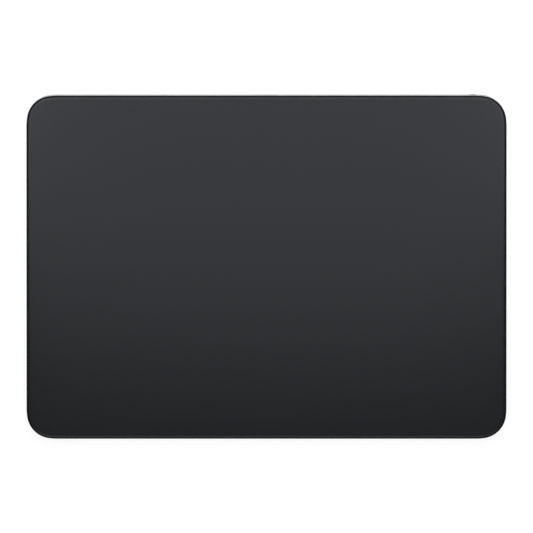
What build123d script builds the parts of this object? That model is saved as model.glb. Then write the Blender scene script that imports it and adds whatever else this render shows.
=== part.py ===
from build123d import *
import os
from math import asin, cos, radians, sin

os.makedirs("parts", exist_ok=True)

# A free-standing trackpad: a slab of satin glass that floats over a wedge-shaped tray, higher at the rear.
# The frame has +X to the right, +Y to the rear and +Z up, and its origin is on the desk, under the
# middle of the footprint. Distances along the slab and square to it are turned into this frame by
# slab_point, and everything behind the glass is given by how far it lies below the glass's top face.

# Overall form
width = 160.0
slope_depth = 114.5
front_height = 4.9
rear_height = 10.9
nose_radius = 8.45
flank_radius = 23.0
flank_turn_degrees = 7

# Glass plate with a soft shoulder, and what is bonded under it
glass_thickness = 1.1
shoulder_width = 1.5
shoulder_drop = 0.12
glass_edge_round = 0.3
bond_thickness = 0.1
sensor_board_thickness = 0.6
carrier_thickness = 0.9
bond_margin = 0.3

# Tray
glass_float = 0.35
wall = 2.0
floor_thickness = 0.9
foot_proud = 0.5
base_edge_round = 0.8
rim_bevel = 0.15
plate_clearance = 0.5
cut_overrun = 1.0

# Feet, which hide the plate screws
foot_radius = 4.8
foot_recess = 0.4
foot_edge_round = 0.35
foot_fit = 0.05
foot_inset_x = 14.0
foot_inset_y = 14.8
access_radius = 2.2

# Leaf flexures with a rubber isolator at the free end of each
flexure_thickness = 0.4
flexure_width = 12.0
flexure_reach = 24.0
anchor_length = 8.0
flexure_window_length = 7.0
flexure_window_width = 4.6
flexure_corner = 1.0
boss_margin = 0.3
isolator_flange = 0.45
isolator_lip = 0.25
isolator_flange_radius = 3.2
isolator_lip_radius = 3.0
isolator_neck_radius = 2.2
isolator_play = 0.3
neck_fit = 0.02

# Screws
anchor_head_radius = 1.4
anchor_head_height = 0.5
anchor_shank_radius = 0.7
anchor_shank_length = 1.1
anchor_spacing = 6.0
anchor_relief_radius = 2.2
screw_fit = 0.03
shoulder_radius = 1.0
plate_head_radius = 1.6
plate_head_height = 0.4
plate_thread_radius = 0.7
plate_thread_length = 0.75
small_head_radius = 1.15
small_head_height = 0.45
small_shank_radius = 0.6
small_shank_length = 0.7

# Strain gauges near the root of each flexure
gauge_length = 2.6
gauge_width = 2.0
gauge_thickness = 0.12
gauge_setback = 0.6

# Haptic actuator: a comb-shaped core with a coil on each tooth pulls a bar on the carrier plate
tooth_count = 4
tooth_pitch = 15.0
tooth_width = 6.0
tooth_length = 5.4
core_back = 4.0
core_thickness = 1.8
actuator_setback = 5.6
core_corner = 0.5
coil_build = 0.5
coil_length = 3.6
coil_clearance = 0.05
coil_setback = 0.8
bracket_thickness = 0.6
bracket_overhang = 5.0
bracket_lip = 0.6
actuator_gap = 0.45
bar_depth = 3.0
bar_height = 3.1
bar_end_round = 1.0
bar_head_sink = 0.6
bar_screw_inset = 4.0

# Logic board on the right of the tray
board_length = 40.0
board_depth = 27.0
board_thickness = 0.8
board_corner = 1.5
board_wall_gap = 4.0
board_rear_gap = 3.5
board_boss_height = 1.2
board_boss_radius = 1.7
board_boss_inset = 2.6
can_height = 1.5
can_wall = 0.2
can_corner = 0.8
can_margin = 2.2
can_front_setback = 6.2
can_rear_setback = 5.2
can_split = 3.0
can_split_share = 0.42
chip_height = 1.0
chip_size = 7.0
top_connector_height = 0.7
connector_depth = 2.4
flex_thickness = 0.15
flex_width = 3.2
flex_air = 0.05
run_air = 0.3

# Battery and its protection board
battery_thickness = 3.4
battery_depth = 26.0
battery_wall_gap = 6.0
battery_corner = 2.0
battery_edge_round = 1.1
battery_board_gap = 2.4
protection_width = 3.6
protection_thickness = 0.8
protection_inset = 3.0
tape_thickness = 0.15
tape_depth = 6.0
tape_inset = 4.0
rib_thickness = 0.8
rib_height = 1.6
rib_clearance = 0.4

# Charging socket in the middle of the rear wall
rear_axis_below = 5.9
mouth_width = 7.7
mouth_height = 2.7
socket_fit = 0.05
socket_set_in = 0.2
socket_length = 9.6
socket_can_wall = 0.2
cavity_width = 6.7
cavity_height = 1.6
cavity_depth = 6.9
contact_count = 8
contact_pitch = 0.72
contact_width = 0.32
contact_thickness = 0.14
contact_length = 5.2
gasket_thickness = 0.5
gasket_border = 1.0
strap_thickness = 0.3
strap_length = 3.0
strap_foot = 3.4
strap_setback = 6.0
pedestal_length = 4.4
pedestal_setback = 5.0

# Power switch near the right end of the rear wall
switch_inset = 12.45
switch_slot_width = 4.9
switch_slot_height = 1.7
frame_set_in = 0.5
frame_fit = 0.02
knob_width = 1.9
knob_height = 1.3
knob_proud = 0.28
knob_edge_round = 0.12
knob_end_gap = 0.35
stem_running_gap = 0.1
stem_width = 1.1
stem_height = 0.7
switch_body_width = 7.4
switch_body_height = 3.2
switch_body_depth = 4.6
switch_body_wall = 0.7
slider_width = 2.2
slider_height = 1.5
slider_clearance = 0.08
switch_ear = 2.8
switch_ear_thickness = 0.6
switch_contact_size = 0.9
switch_contact_thickness = 0.2
switch_wall_gap = 0.1

# Antenna between the socket and the switch
antenna_length = 20.0
antenna_depth = 4.6
antenna_socket_gap = 9.5
antenna_wall_gap = 0.4
antenna_top_gap = 0.7
antenna_thickness = 0.12
antenna_track = 1.2
antenna_cable_width = 1.4

# Sensor electronics under the glass, in windows of the carrier plate
touch_chip_size = 7.0
touch_chip_height = 0.8
small_chip_size = 3.0
small_chip_height = 0.6
chip_window_length = 22.0
chip_window_depth = 9.5
chip_window_x = -24.0
chip_window_y = -30.0
window_corner = 1.0
touch_cable_inset = 10.5
touch_cable_width = 10.0
touch_connector_height = 0.6
touch_window_margin = 1.2
fold_radius = 0.5
fold_reach = 2.2

# Values worked out from the sizes above
tilt = asin((rear_height - front_height) / slope_depth)
slab_centre_z = (front_height + rear_height) / 2
slab_centre_y = -(rear_height - foot_proud) * sin(tilt) / 2
floor_top = foot_proud + floor_thickness
rim_below = glass_thickness + glass_float
sensor_below = glass_thickness + bond_thickness
carrier_below = sensor_below + sensor_board_thickness
flange_below = carrier_below + carrier_thickness
flexure_below = flange_below + isolator_flange
flexure_underside = flexure_below + flexure_thickness
lip_underside = flexure_underside + isolator_lip
plate_inset = wall + plate_clearance
tray_reach = 2 * rear_height
foot_x = width / 2 - foot_inset_x
foot_along = slope_depth / 2 - foot_inset_y
anchor_end_x = foot_x - flexure_reach
anchor_x = anchor_end_x + anchor_length / 2
inner_x = width / 2 - wall
inner_along = slope_depth / 2 - wall
sides = {"left": -1, "right": 1}
ends = {"front": -1, "rear": 1}
STANDING = (Align.CENTER, Align.CENTER, Align.MIN)
HANGING = (Align.CENTER, Align.CENTER, Align.MAX)


def slab_point(across, along, below):
    """Give the place that lies across and along the slab, and below its top face."""
    y = slab_centre_y + along * cos(tilt) + below * sin(tilt)
    z = slab_centre_z + along * sin(tilt) - below * cos(tilt)
    return Vector(across, y, z)


def slab_plane(below):
    """Give the plane parallel to the glass at a depth below its top face, facing up."""
    return Plane(origin=slab_point(0, 0, below), x_dir=(1, 0, 0), z_dir=(0, -sin(tilt), cos(tilt)))


def rear_plane(across, set_in):
    """Give the plane parallel to the rear wall at the height of its openings, facing out.

    Its own x runs with the frame's, its own y runs down, and its z runs out to the rear.
    """
    origin = slab_point(across, slope_depth / 2 - set_in, rear_axis_below)
    return Plane(origin=origin, x_dir=(1, 0, 0), z_dir=(0, cos(tilt), sin(tilt)))


def level_y(along, height):
    """Give the frame's y where a line square to the slab comes down to a height."""
    below = (slab_centre_z + along * sin(tilt) - height) / cos(tilt)
    return slab_point(0, along, below).Y


def soft_rectangle(inset):
    """Give the plan outline drawn in by an inset: straight sides, corners of three tangent arcs.

    A tight nose in the middle of each corner is flanked by two slack arcs that ease it into the sides.
    """
    swing = flank_radius - nose_radius
    turn = radians(flank_turn_degrees)
    easing = swing * cos(turn)
    nose_x = width / 2 - flank_radius + easing
    nose_y = slope_depth / 2 - flank_radius + easing
    nose_sweep = 90 - 2 * flank_turn_degrees
    slack = flank_radius - inset
    with BuildSketch() as outline:
        with BuildLine():
            rear_center = (nose_x - swing * sin(turn), nose_y - easing)
            side_center = (nose_x - easing, nose_y - swing * sin(turn))
            rear_flank = CenterArc(rear_center, slack, 90, -flank_turn_degrees)
            CenterArc((nose_x, nose_y), nose_radius - inset, 90 - flank_turn_degrees, -nose_sweep)
            side_flank = CenterArc(side_center, slack, flank_turn_degrees, -flank_turn_degrees)
            Line((0, slope_depth / 2 - inset), rear_flank @ 0)
            Line(side_flank @ 1, (width / 2 - inset, 0))
            mirror(about=Plane.YZ)
            mirror(about=Plane.XZ)
        make_face()
    return outline.sketch


def rectangle_between(x_low, y_low, x_high, y_high, mode=Mode.ADD):
    """Fill a rectangle given by two opposite corners."""
    with Locations(((x_low + x_high) / 2, (y_low + y_high) / 2)):
        Rectangle(x_high - x_low, y_high - y_low, mode=mode)


def small_screw():
    """Stand a low-head screw on the current places: the head above them, the shank below."""
    Cylinder(small_head_radius, small_head_height, align=STANDING)
    Cylinder(small_shank_radius, small_shank_length, align=HANGING)


def small_pilot():
    """Drill the hole that a small screw's shank turns into, with its fit."""
    deep = small_shank_length + screw_fit
    Cylinder(small_shank_radius + screw_fit, deep, align=HANGING, mode=Mode.SUBTRACT)


def save(builder, name):
    """Label a finished piece and write it out under its own name."""
    builder.part.label = name
    export_step(builder.part, f"parts/{name}.step")


# Outlines drawn in from the slab's edge
full_outline = soft_rectangle(0)
wall_outline = soft_rectangle(wall)
plate_outline = soft_rectangle(plate_inset)

# Places shared by the tray and the pieces that stand in it
corners = [(a, b) for a in sides.values() for b in ends.values()]
foot_places = [(a * foot_x, b * foot_along) for a, b in corners]
anchor_places = [(a * anchor_x, b * foot_along) for a, b in corners]
anchor_screw_places = [(x, y + s * anchor_spacing / 2) for x, y in anchor_places for s in ends.values()]

cable_width = flex_width
boss_front_y = level_y(foot_along - flexure_width / 2, floor_top)
rear_run_y = boss_front_y - run_air - cable_width

board_right = inner_x - board_wall_gap
board_left = board_right - board_length
board_rear_y = boss_front_y - board_rear_gap
board_front_y = board_rear_y - board_depth
board_underside = floor_top + board_boss_height
board_top = board_underside + board_thickness
board_boss_places = [
    ((board_left + board_right) / 2, board_front_y + board_boss_inset),
    (board_right - board_boss_inset, board_front_y + board_boss_inset),
    ((board_left + board_right) / 2, board_rear_y - board_boss_inset),
]

battery_left = -inner_x + battery_wall_gap
battery_right = board_left - battery_board_gap - protection_width
battery_rear_y = rear_run_y - flex_air - rib_thickness - rib_clearance
battery_front_y = battery_rear_y - battery_depth
battery_underside = floor_top + tape_thickness

core_rear_y = battery_front_y - actuator_setback
core_front_y = core_rear_y - tooth_length - core_back
core_underside = floor_top + bracket_thickness
core_half = (tooth_count - 1) * tooth_pitch / 2 + tooth_width / 2
bracket_half = core_half + bracket_overhang
back_middle_y = core_front_y + core_back / 2
bracket_screw_places = [(s * (bracket_half - bracket_overhang / 2), back_middle_y) for s in sides.values()]
core_screw_places = [(s * tooth_pitch, back_middle_y) for s in sides.values()]
teeth_x = [(i - (tooth_count - 1) / 2) * tooth_pitch for i in range(tooth_count)]

can_radius = mouth_height / 2 - socket_fit
pedestal_below = rear_axis_below + can_radius
strap_half = mouth_width / 2 - socket_fit + strap_thickness
pedestal_half = strap_half + strap_foot
strap_screw_x = strap_half + strap_foot / 2
pedestal_along = slope_depth / 2 - pedestal_setback - pedestal_length / 2
strap_along = slope_depth / 2 - strap_setback - strap_length / 2
strap_screw_places = [(s * strap_screw_x, strap_along) for s in sides.values()]
pedestal_top = slab_plane(pedestal_below)

switch_x = width / 2 - switch_inset
switch_front = wall + switch_wall_gap
switch_back = switch_front + switch_body_depth
switch_shelf_below = rear_axis_below + switch_body_height / 2
switch_along = slope_depth / 2 - switch_front - switch_body_depth / 2
switch_left = switch_x - switch_body_width / 2
switch_right = switch_x + switch_body_width / 2
switch_shelf = slab_plane(switch_shelf_below)
ear_screw_place = (switch_left - switch_ear / 2, switch_along)

antenna_start_x = pedestal_half + antenna_socket_gap
antenna_end_x = antenna_start_x + antenna_length
antenna_along = inner_along - antenna_wall_gap - antenna_depth / 2
antenna_below = flange_below + antenna_top_gap

# The space inside the tray. What is taken out of it here stays standing in the tray
with BuildPart() as hollow:
    with BuildSketch(slab_plane(rim_below - cut_overrun)):
        add(wall_outline)
    extrude(amount=-tray_reach)
    split(bisect_by=Plane.XY.offset(floor_top), keep=Keep.TOP)
    # Bosses that the flexures are screwed down on, cut parallel to the glass
    with BuildSketch(slab_plane(flexure_underside)):
        with Locations(anchor_places):
            RectangleRounded(anchor_length - boss_margin, flexure_width, flexure_corner)
    extrude(amount=-tray_reach, mode=Mode.SUBTRACT)
    # Round bosses under the logic board
    with BuildSketch(Plane.XY.offset(board_underside)):
        with Locations(board_boss_places):
            Circle(board_boss_radius)
    extrude(amount=-tray_reach, mode=Mode.SUBTRACT)
    # A low cradle of ribs keeps the battery in place, open towards the logic board
    with BuildSketch(Plane.XY.offset(floor_top + rib_height)):
        near = rib_clearance
        far = rib_clearance + rib_thickness
        rectangle_between(battery_left - far, battery_front_y - far, battery_right, battery_rear_y + far)
        rectangle_between(
            battery_left - near,
            battery_front_y - near,
            battery_right + cut_overrun,
            battery_rear_y + near,
            mode=Mode.SUBTRACT,
        )
        rectangle_between(
            battery_left + battery_depth / 2,
            battery_front_y - far - cut_overrun,
            battery_right - battery_depth / 2,
            battery_rear_y + far + cut_overrun,
            mode=Mode.SUBTRACT,
        )
    extrude(amount=-tray_reach, mode=Mode.SUBTRACT)
    # Pedestals that carry the socket and the switch at the height of their openings
    with BuildSketch(pedestal_top):
        with Locations((0, pedestal_along)):
            RectangleRounded(2 * pedestal_half, pedestal_length, flexure_corner)
    extrude(amount=-tray_reach, mode=Mode.SUBTRACT)
    with BuildSketch(switch_shelf):
        rectangle_between(
            switch_left - switch_ear,
            slope_depth / 2 - switch_back,
            switch_right,
            slope_depth / 2 - switch_front,
        )
    extrude(amount=-tray_reach, mode=Mode.SUBTRACT)

# Machined tray, one piece: walls square to the glass, a level base and openings in the rear wall
with BuildPart() as housing:
    with BuildSketch(slab_plane(rim_below)):
        add(full_outline)
    extrude(amount=-tray_reach)
    split(bisect_by=Plane.XY.offset(foot_proud), keep=Keep.TOP)
    fillet(housing.faces().sort_by(Axis.Z)[0].edges(), base_edge_round)
    chamfer(housing.faces().sort_by(Axis.Z)[-1].edges(), rim_bevel)
    add(hollow.part, mode=Mode.SUBTRACT)
    # Recesses for the feet, and the holes that let a driver reach the plate screws
    with Locations([(x, level_y(y, foot_proud), foot_proud) for x, y in foot_places]):
        Cylinder(foot_radius + foot_fit, foot_recess, align=STANDING, mode=Mode.SUBTRACT)
    with BuildSketch(slab_plane(lip_underside)):
        with Locations(foot_places):
            Circle(access_radius)
    extrude(amount=-tray_reach, mode=Mode.SUBTRACT)
    # Tapped holes
    with Locations(slab_plane(flexure_underside)):
        with Locations(anchor_screw_places):
            anchor_hole = anchor_shank_length - flexure_thickness + screw_fit
            Cylinder(anchor_shank_radius + screw_fit, anchor_hole, align=HANGING, mode=Mode.SUBTRACT)
    with Locations([(x, y, board_underside) for x, y in board_boss_places]):
        small_pilot()
    with Locations([(x, y, floor_top) for x, y in bracket_screw_places]):
        small_pilot()
    with Locations(pedestal_top):
        with Locations(strap_screw_places):
            small_pilot()
    with Locations(switch_shelf):
        with Locations(ear_screw_place):
            small_pilot()
    # Socket mouth and switch slot
    with BuildSketch(rear_plane(0, -cut_overrun)):
        SlotOverall(mouth_width, mouth_height)
    extrude(amount=-(wall + 2 * cut_overrun), mode=Mode.SUBTRACT)
    with BuildSketch(rear_plane(switch_x, -cut_overrun)):
        SlotOverall(switch_slot_width, switch_slot_height)
    extrude(amount=-(wall + 2 * cut_overrun), mode=Mode.SUBTRACT)
save(housing, "housing")

# Rubber feet, pressed into the base over the plate screws
for end, b in ends.items():
    for side, a in sides.items():
        place = (a * foot_x, level_y(b * foot_along, foot_proud))
        with BuildPart() as foot:
            with Locations(place):
                Cylinder(foot_radius, foot_proud + foot_recess, align=STANDING)
            fillet(foot.faces().sort_by(Axis.Z)[0].edges(), foot_edge_round)
        save(foot, f"foot_{end}_{side}")

# Four leaf flexures: screwed down at the root, with a window that leaves two slim arms,
# and a round free end that holds the isolator
for end, b in ends.items():
    for side, a in sides.items():
        with BuildPart() as flexure:
            with BuildSketch(slab_plane(flexure_below)):
                with Locations((a * (anchor_end_x + foot_x) / 2, b * foot_along)):
                    Rectangle(flexure_reach, flexure_width)
                with Locations((a * foot_x, b * foot_along)):
                    Circle(flexure_width / 2)
                window_x = anchor_end_x + anchor_length + gauge_setback + flexure_window_length / 2
                with Locations((a * window_x, b * foot_along)):
                    RectangleRounded(
                        flexure_window_length, flexure_window_width, flexure_corner, mode=Mode.SUBTRACT
                    )
                with Locations((a * foot_x, b * foot_along)):
                    Circle(isolator_neck_radius + neck_fit, mode=Mode.SUBTRACT)
                with Locations([(a * anchor_x, b * foot_along + s * anchor_spacing / 2) for s in ends.values()]):
                    Circle(anchor_shank_radius + screw_fit, mode=Mode.SUBTRACT)
            extrude(amount=-flexure_thickness)
        save(flexure, f"flexure_{end}_{side}")

        # Rubber isolator: a grommet that grips the flexure between its flange and its lip
        with BuildPart(slab_plane(flange_below)) as isolator:
            with Locations((a * foot_x, b * foot_along)):
                neck = lip_underside - flange_below
                Cylinder(isolator_neck_radius, neck, align=HANGING)
                Cylinder(isolator_flange_radius, isolator_flange, align=HANGING)
                with Locations((0, 0, flange_below - flexure_underside)):
                    Cylinder(isolator_lip_radius, isolator_lip, align=HANGING)
                Cylinder(shoulder_radius + isolator_play, neck, align=HANGING, mode=Mode.SUBTRACT)
        save(isolator, f"isolator_{end}_{side}")

with BuildPart(slab_plane(flexure_below)) as anchor_screws:
    with Locations(anchor_screw_places):
        Cylinder(anchor_head_radius, anchor_head_height, align=STANDING)
        Cylinder(anchor_shank_radius, anchor_shank_length, align=HANGING)
save(anchor_screws, "anchor_screws")

# Two strain gauges beside the window of each flexure
gauge_x = anchor_end_x + anchor_length + gauge_setback + gauge_length / 2
gauge_y = (flexure_width + flexure_window_width) / 4
with BuildPart(slab_plane(flexure_below)) as strain_gauges:
    with Locations([(a * gauge_x, b * foot_along + s * gauge_y) for a, b in corners for s in ends.values()]):
        Box(gauge_length, gauge_width, gauge_thickness, align=STANDING)
save(strain_gauges, "strain_gauges")

# Shouldered plate screws, put in from below through the isolators
with BuildPart(slab_plane(flange_below)) as plate_screws:
    with Locations(foot_places):
        Cylinder(plate_thread_radius, plate_thread_length, align=STANDING)
        Cylinder(shoulder_radius, lip_underside - flange_below, align=HANGING)
        with Locations((0, 0, flange_below - lip_underside)):
            Cylinder(plate_head_radius, plate_head_height, align=HANGING)
save(plate_screws, "plate_screws")

# Glass plate: a shallow soft shoulder all round, then a small round at the very edge
with BuildPart() as glass:
    with BuildSketch(slab_plane(0)):
        add(full_outline)
    extrude(amount=-glass_thickness)
    square_to_slab = Axis(slab_point(0, 0, 0), slab_plane(0).z_dir)
    top = glass.faces().sort_by(square_to_slab)[-1]
    chamfer(top.edges(), shoulder_width, shoulder_drop, reference=top)
    fillet(glass.edges().group_by(square_to_slab)[-3], glass_edge_round)
save(glass, "glass")

with BuildPart() as glass_bond:
    with BuildSketch(slab_plane(glass_thickness)):
        add(soft_rectangle(plate_inset + bond_margin))
    extrude(amount=-bond_thickness)
save(glass_bond, "glass_bond")

with BuildPart() as sensor_board:
    with BuildSketch(slab_plane(sensor_below)):
        add(plate_outline)
    extrude(amount=-sensor_board_thickness)
save(sensor_board, "sensor_board")

# The cable from the sensor board folds down to the logic board in front of its connectors
connector_y = board_front_y + board_boss_inset
touch_cable_x = board_right - touch_cable_inset
upper_leg_below = carrier_below + touch_connector_height + flex_thickness / 2
lower_leg_z = board_top + top_connector_height + flex_thickness / 2
fold_y = connector_y - connector_depth / 2 - fold_reach
touch_along = (connector_y - slab_centre_y) / cos(tilt)
window_front = touch_along - connector_depth / 2 - fold_reach - touch_window_margin
window_rear = touch_along + connector_depth / 2 + touch_window_margin
touch_half = touch_cable_width / 2

# Carrier plate: tapped for the plate screws, and cleared round the heads of the anchor screws
with BuildPart() as carrier_plate:
    with BuildSketch(slab_plane(carrier_below)):
        add(plate_outline)
        with Locations(foot_places):
            Circle(plate_thread_radius + screw_fit, mode=Mode.SUBTRACT)
        with Locations(anchor_screw_places):
            Circle(anchor_relief_radius, mode=Mode.SUBTRACT)
        with Locations((chip_window_x, chip_window_y)):
            RectangleRounded(chip_window_length, chip_window_depth, window_corner, mode=Mode.SUBTRACT)
        with Locations((touch_cable_x, (window_front + window_rear) / 2)):
            RectangleRounded(
                touch_cable_width + 2 * touch_window_margin,
                window_rear - window_front,
                window_corner,
                mode=Mode.SUBTRACT,
            )
    extrude(amount=-carrier_thickness)
save(carrier_plate, "carrier_plate")

# Sensor chips, and the connector of the touch cable, under the sensor board
with BuildPart(slab_plane(carrier_below)) as touch_chips:
    with Locations((chip_window_x, chip_window_y)):
        Box(touch_chip_size, touch_chip_size, touch_chip_height, align=HANGING)
        with Locations([(s * touch_chip_size, 0) for s in sides.values()]):
            Box(small_chip_size, small_chip_size, small_chip_height, align=HANGING)
save(touch_chips, "touch_chips")

with BuildPart(slab_plane(carrier_below)) as touch_connector:
    with Locations((touch_cable_x, touch_along)):
        Box(touch_cable_width, connector_depth, touch_connector_height, align=HANGING)
save(touch_connector, "touch_connector")

with BuildPart() as touch_cable:
    upper_end = slab_point(0, touch_along + connector_depth / 2, upper_leg_below)
    upper_turn = slab_point(0, (fold_y - slab_centre_y) / cos(tilt), upper_leg_below)
    with BuildSketch(Plane.YZ.offset(touch_cable_x)):
        with BuildLine():
            FilletPolyline(
                (upper_end.Y, upper_end.Z),
                (upper_turn.Y, upper_turn.Z),
                (fold_y, lower_leg_z),
                (connector_y + connector_depth / 2, lower_leg_z),
                radius=fold_radius,
            )
        trace(line_width=flex_thickness)
    extrude(amount=touch_half, both=True)
save(touch_cable, "touch_cable")

# Haptic actuator: a comb of laminated steel whose teeth face the attraction bar. Its screws are sunk
core_top = core_underside + core_thickness
with BuildPart() as actuator_core:
    with BuildSketch(Plane.XY.offset(core_underside)):
        rectangle_between(-core_half, core_front_y, core_half, core_front_y + core_back)
        with Locations([(x, core_rear_y - tooth_length / 2) for x in teeth_x]):
            Rectangle(tooth_width, tooth_length)
        with Locations(core_screw_places):
            Circle(small_shank_radius + screw_fit, mode=Mode.SUBTRACT)
    extrude(amount=core_thickness)
    with Locations([(x, y, core_top) for x, y in core_screw_places]):
        Cylinder(small_head_radius + screw_fit, small_head_height, align=HANGING, mode=Mode.SUBTRACT)
    fillet(actuator_core.edges().filter_by(Axis.Z).group_by(Axis.Y)[-1], core_corner)
save(actuator_core, "actuator_core")

coil_y = core_rear_y - coil_setback
for i, x in enumerate(teeth_x):
    with BuildPart() as coil:
        tooth_middle = core_underside + core_thickness / 2
        coil_plane = Plane(origin=(x, coil_y, tooth_middle), x_dir=(1, 0, 0), z_dir=(0, -1, 0))
        with BuildSketch(coil_plane):
            bore_width = tooth_width + 2 * coil_clearance
            bore_height = core_thickness + 2 * coil_clearance
            full_width = bore_width + 2 * coil_build
            RectangleRounded(full_width, bore_height + 2 * coil_build, coil_build + coil_clearance)
            Rectangle(bore_width, bore_height, mode=Mode.SUBTRACT)
        extrude(amount=coil_length)
    save(coil, f"coil_{i + 1}")

with BuildPart() as actuator_bracket:
    with BuildSketch(Plane.XY.offset(floor_top)):
        with Locations((0, back_middle_y)):
            RectangleRounded(2 * bracket_half, core_back + 2 * bracket_lip, flexure_corner)
        with Locations(bracket_screw_places + core_screw_places):
            Circle(small_shank_radius + screw_fit, mode=Mode.SUBTRACT)
    extrude(amount=bracket_thickness)
save(actuator_bracket, "actuator_bracket")

with BuildPart() as bracket_screws:
    with Locations([(x, y, core_underside) for x, y in bracket_screw_places]):
        Cylinder(small_head_radius, small_head_height, align=STANDING)
        Cylinder(small_shank_radius, small_shank_length + bracket_thickness, align=HANGING)
save(bracket_screws, "bracket_screws")

with BuildPart() as core_screws:
    with Locations([(x, y, core_top) for x, y in core_screw_places]):
        Cylinder(small_head_radius, small_head_height, align=HANGING)
        Cylinder(small_shank_radius, core_thickness + bracket_thickness - screw_fit, align=HANGING)
save(core_screws, "core_screws")

# Attraction bar, hung from the carrier plate by two screws sunk in its underside
bar_along = (core_rear_y + actuator_gap + bar_depth / 2 - slab_centre_y) / cos(tilt)
bar_screw_places = [(s * (core_half - bar_screw_inset), bar_along) for s in sides.values()]
with BuildPart(slab_plane(flange_below)) as attraction_bar:
    with BuildSketch(slab_plane(flange_below)):
        with Locations((0, bar_along)):
            RectangleRounded(2 * core_half, bar_depth, bar_end_round)
    extrude(amount=-bar_height)
    with Locations(bar_screw_places):
        Cylinder(small_shank_radius + screw_fit, bar_height, align=HANGING, mode=Mode.SUBTRACT)
        with Locations((0, 0, bar_head_sink - bar_height)):
            Cylinder(small_head_radius + screw_fit, bar_head_sink, align=HANGING, mode=Mode.SUBTRACT)
save(attraction_bar, "attraction_bar")

with BuildPart(slab_plane(flange_below)) as attraction_screws:
    with Locations([(x, y, bar_head_sink - bar_height) for x, y in bar_screw_places]):
        Cylinder(small_head_radius, small_head_height, align=HANGING)
        Cylinder(small_shank_radius, bar_height - bar_head_sink, align=STANDING)
save(attraction_screws, "attraction_screws")

# Logic board with its shield cans, chips and connectors
with BuildPart() as logic_board:
    with BuildSketch(Plane.XY.offset(board_underside)):
        with Locations(((board_left + board_right) / 2, board_front_y + board_depth / 2)):
            RectangleRounded(board_length, board_depth, board_corner)
        with Locations(board_boss_places):
            Circle(small_shank_radius + screw_fit, mode=Mode.SUBTRACT)
    extrude(amount=board_thickness)
save(logic_board, "logic_board")

with BuildPart() as board_screws:
    with Locations([(x, y, board_top) for x, y in board_boss_places]):
        Cylinder(small_head_radius, small_head_height, align=STANDING)
        Cylinder(small_shank_radius, small_shank_length + board_thickness, align=HANGING)
save(board_screws, "board_screws")

cans_left = board_left + can_margin
cans_right = board_right - can_margin
cans_width = cans_right - cans_left - can_split
cans_front = board_front_y + can_front_setback
cans_rear = board_rear_y - can_rear_setback
radio_right = cans_left + cans_width * can_split_share
can_spans = {"radio_shield": (cans_left, radio_right), "controller_shield": (radio_right + can_split, cans_right)}
for name, (low, high) in can_spans.items():
    with BuildPart(Plane.XY.offset(board_top)) as can:
        can_middle = ((low + high) / 2, (cans_front + cans_rear) / 2)
        with Locations(can_middle):
            Box(high - low, cans_rear - cans_front, can_height, align=STANDING)
        fillet(can.edges().filter_by(Axis.Z), can_corner)
        with Locations(can_middle):
            inner_width = high - low - 2 * can_wall
            inner_depth = cans_rear - cans_front - 2 * can_wall
            Box(inner_width, inner_depth, can_height - can_wall, align=STANDING, mode=Mode.SUBTRACT)
    save(can, name)

with BuildPart() as board_chips:
    middle_y = (cans_front + cans_rear) / 2
    with Locations([((low + high) / 2, middle_y, board_top) for low, high in can_spans.values()]):
        Box(chip_size, chip_size, chip_height, align=STANDING)
save(board_chips, "board_chips")

# Flat cables lie on the tray's floor and run to connectors on the underside of the logic board
cable_top = floor_top + flex_thickness
plug_x = board_left + board_corner + connector_depth / 2 + flex_air
lead_y = (battery_front_y + battery_rear_y) / 2
rear_plug_y = board_rear_y - board_boss_inset
antenna_plug_x = plug_x + cable_width / 2 + connector_depth / 2
switch_plug_x = switch_right - cable_width / 2
actuator_plug_x = max(plug_x, bracket_half + flex_air + cable_width / 2)
antenna_cable_top = cable_top + flex_thickness
plug_places = [
    (plug_x, rear_plug_y),
    (plug_x, lead_y),
    (actuator_plug_x, connector_y),
    (switch_plug_x, rear_plug_y),
]
with BuildPart() as board_connectors:
    with Locations([(x, y, cable_top) for x, y in plug_places]):
        Box(connector_depth, connector_depth, board_underside - cable_top, align=STANDING)
    with Locations((antenna_plug_x, rear_plug_y, antenna_cable_top)):
        Cylinder(antenna_cable_width / 2, board_underside - antenna_cable_top, align=STANDING)
    with Locations((touch_cable_x, connector_y, board_top)):
        Box(touch_cable_width, connector_depth, top_connector_height, align=STANDING)
save(board_connectors, "board_connectors")

# Battery pouch on two strips of tape, with its protection board at the end near the logic board
with BuildPart() as battery_cell:
    with BuildSketch(Plane.XY.offset(battery_underside)):
        with Locations(((battery_left + battery_right) / 2, (battery_front_y + battery_rear_y) / 2)):
            RectangleRounded(battery_right - battery_left, battery_depth, battery_corner)
    extrude(amount=battery_thickness)
    fillet(battery_cell.faces().sort_by(Axis.Z)[-1].edges(), battery_edge_round)
save(battery_cell, "battery_cell")

with BuildPart() as battery_tape:
    with BuildSketch(Plane.XY.offset(floor_top)):
        for strip_y in (battery_front_y + tape_inset, battery_rear_y - tape_inset - tape_depth):
            rectangle_between(
                battery_left + tape_inset, strip_y, battery_right - tape_inset, strip_y + tape_depth
            )
    extrude(amount=tape_thickness)
save(battery_tape, "battery_tape")

with BuildPart() as battery_board:
    with BuildSketch(Plane.XY.offset(cable_top)):
        rectangle_between(
            battery_right,
            battery_front_y + protection_inset,
            battery_right + protection_width,
            battery_rear_y - protection_inset,
        )
    extrude(amount=protection_thickness)
save(battery_board, "battery_board")

with BuildPart() as battery_lead:
    with BuildSketch(Plane.XY.offset(floor_top)):
        lead_half = cable_width / 2
        rectangle_between(battery_right, lead_y - lead_half, plug_x + lead_half, lead_y + lead_half)
    extrude(amount=flex_thickness)
save(battery_lead, "battery_lead")

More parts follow.
